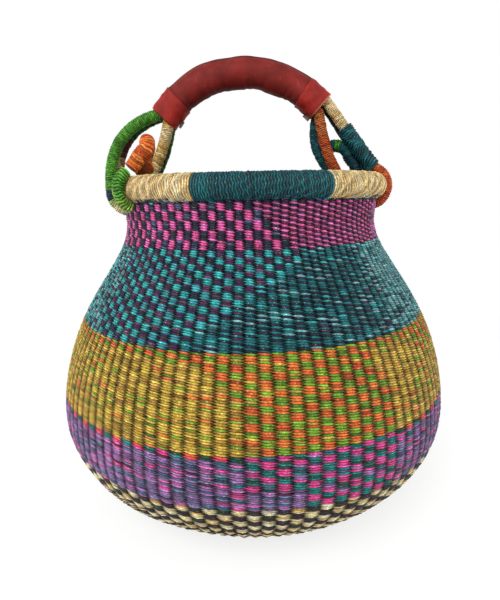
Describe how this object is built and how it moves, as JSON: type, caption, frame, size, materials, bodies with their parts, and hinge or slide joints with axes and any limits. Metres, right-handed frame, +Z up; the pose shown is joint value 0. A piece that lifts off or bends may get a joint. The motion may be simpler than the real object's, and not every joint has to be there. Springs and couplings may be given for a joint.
{
  "type": "basket",
  "caption": "Round bolga market basket of twined dyed grass, with a full belly, a narrow neck, a wrapped rim and a rocking rope handle with a leather grip.",
  "frame": {"origin": "middle of the flat base, on the surface that the basket stands on", "axes": "+Z up out of the mouth, -Y towards the side that the picture shows, +X towards the picture's right, along the handle"},
  "size_m": [0.37, 0.3706, 0.4147],
  "materials": {
    "straw_and_black_weft": "matt twisted grass, straw with black checks",
    "purple_weft": "matt twisted grass, dyed purple with pink and teal checks",
    "olive_weft": "matt twisted grass, dyed olive with orange and green checks",
    "teal_weft": "matt twisted grass, dyed teal with dark blue checks",
    "pink_weft": "matt twisted grass, dyed pink with dark checks",
    "bare_straw": "undyed dry grass, matt",
    "teal_wrapping": "wound grass, slight sheen",
    "straw_wrapping": "wound grass, slight sheen",
    "orange_wrapping": "wound grass, slight sheen",
    "green_wrapping": "wound grass, slight sheen",
    "maroon_wrapping": "wound grass, slight sheen",
    "dark_green_wrapping": "wound grass, slight sheen",
    "rust_wrapping": "wound grass, slight sheen",
    "red_brown_leather": "thin goat leather, dull with worn highlights",
    "lace": "raw cut end of a leather lace"
  },
  "bodies": {
    "basket": {"floor_band_outer": "straw_and_black_weft", "floor_band_inner": "straw_and_black_weft", "heel_band_outer": "straw_and_black_weft", "heel_band_inner": "straw_and_black_weft", "base_band_outer": "straw_and_black_weft", "base_band_inner": "straw_and_black_weft", "purple_band_outer": "purple_weft", "purple_band_inner": "purple_weft", "olive_band_outer": "olive_weft", "olive_band_inner": "olive_weft", "teal_band_outer": "teal_weft", "teal_band_inner": "teal_weft", "pink_band_outer": "pink_weft", "pink_band_inner": "pink_weft", "stakes": "bare_straw", "rim_core": "bare_straw", "rim_wrap_front": "teal_wrapping", "rim_wrap_back": "teal_wrapping", "rim_wrap_left": "straw_wrapping", "rim_wrap_right": "straw_wrapping", "left_front_turn": "straw_wrapping", "left_back_turn": "straw_wrapping", "right_front_turn": "orange_wrapping", "right_back_turn": "orange_wrapping", "left_arch_front_end": "green_wrapping", "left_arch_back_end": "green_wrapping", "left_arch": "orange_wrapping"},
    "handle": {"left_front_outer_leg": "green_wrapping", "left_front_inner_leg": "straw_wrapping", "left_back_outer_leg": "maroon_wrapping", "left_back_inner_leg": "dark_green_wrapping", "right_front_outer_leg": "straw_wrapping", "right_front_inner_leg": "rust_wrapping", "right_back_outer_leg": "dark_green_wrapping", "right_back_inner_leg": "teal_wrapping", "right_arch": "teal_wrapping", "right_binding": "teal_wrapping", "leather_sleeve": "red_brown_leather", "left_cuff": "red_brown_leather", "right_cuff": "red_brown_leather", "left_lace": "lace", "right_lace": "lace", "front_upper_strand": "bare_straw", "front_lower_strand": "bare_straw", "back_upper_strand": "bare_straw", "back_lower_strand": "bare_straw"}
  },
  "joints": [
    {"name": "handle_swing", "type": "hinge", "parent": "basket", "child": "handle", "pos_m": [0, 0.01, 0.2943], "axis": [1, 0, 0], "range_deg": [-20, 20], "deforming": ["left_front_outer_leg", "left_front_inner_leg", "left_back_outer_leg", "left_back_inner_leg", "right_front_outer_leg", "right_front_inner_leg", "right_back_outer_leg", "right_back_inner_leg", "right_arch", "right_binding"]}
  ]
}
